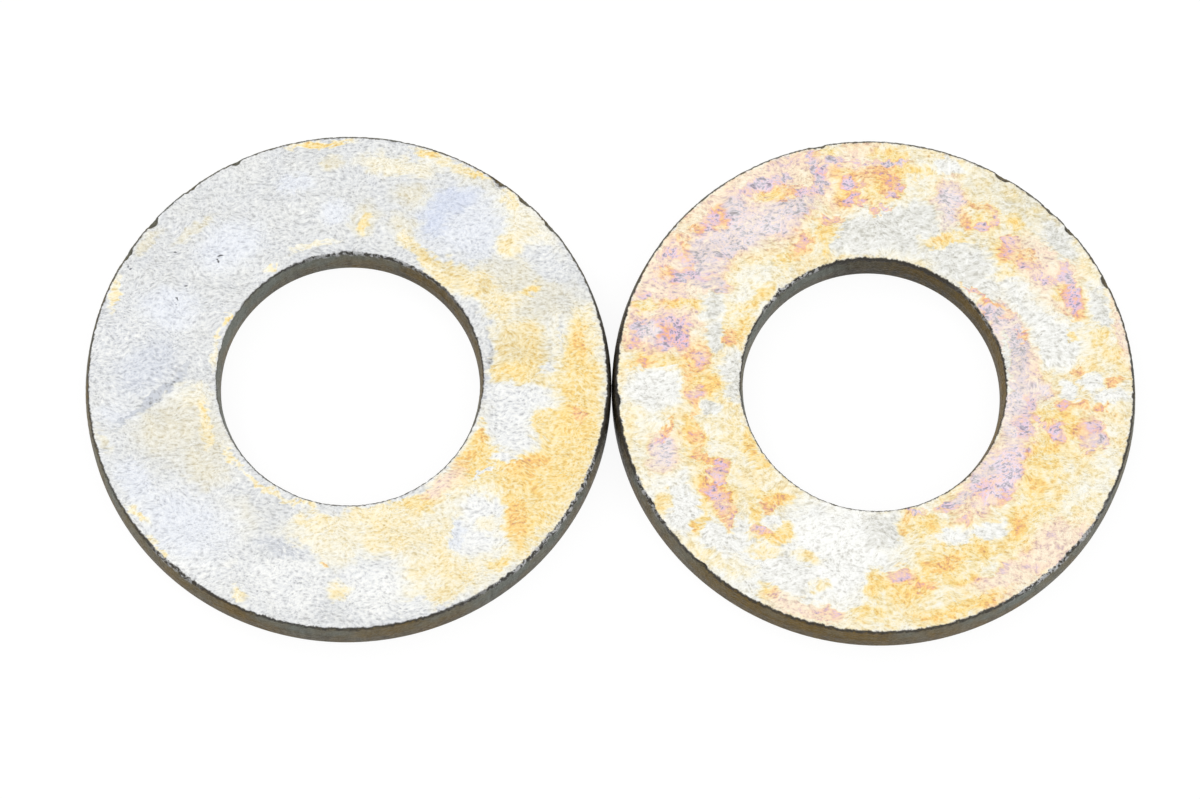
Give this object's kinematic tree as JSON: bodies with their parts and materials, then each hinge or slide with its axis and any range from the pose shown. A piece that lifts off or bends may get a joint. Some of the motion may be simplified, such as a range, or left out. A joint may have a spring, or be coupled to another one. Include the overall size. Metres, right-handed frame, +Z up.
{
  "type": "pair of flat washers",
  "caption": "Flat ring washers punched from plated sheet steel, lying side by side, each with a round clearance hole that spreads a bolt head's load.",
  "frame": {"origin": "on the resting plane, midway between the two washers, at the centre of the pair's footprint", "axes": "+Z up, out of the top faces; +X from the left washer to the right washer; +Y away from the viewer"},
  "size_m": [0.0672, 0.0336, 0.0024],
  "materials": {
    "pale_plating": "zinc plated steel with a thin yellow passivation film, matte and finely pitted, mostly silver with gold patches",
    "gold_plating": "zinc plated steel with a thicker yellow passivation film, matte and finely pitted, gold with violet and magenta patches"
  },
  "bodies": {
    "root": {"left_washer": "pale_plating", "right_washer": "gold_plating"}
  },
  "joints": []
}
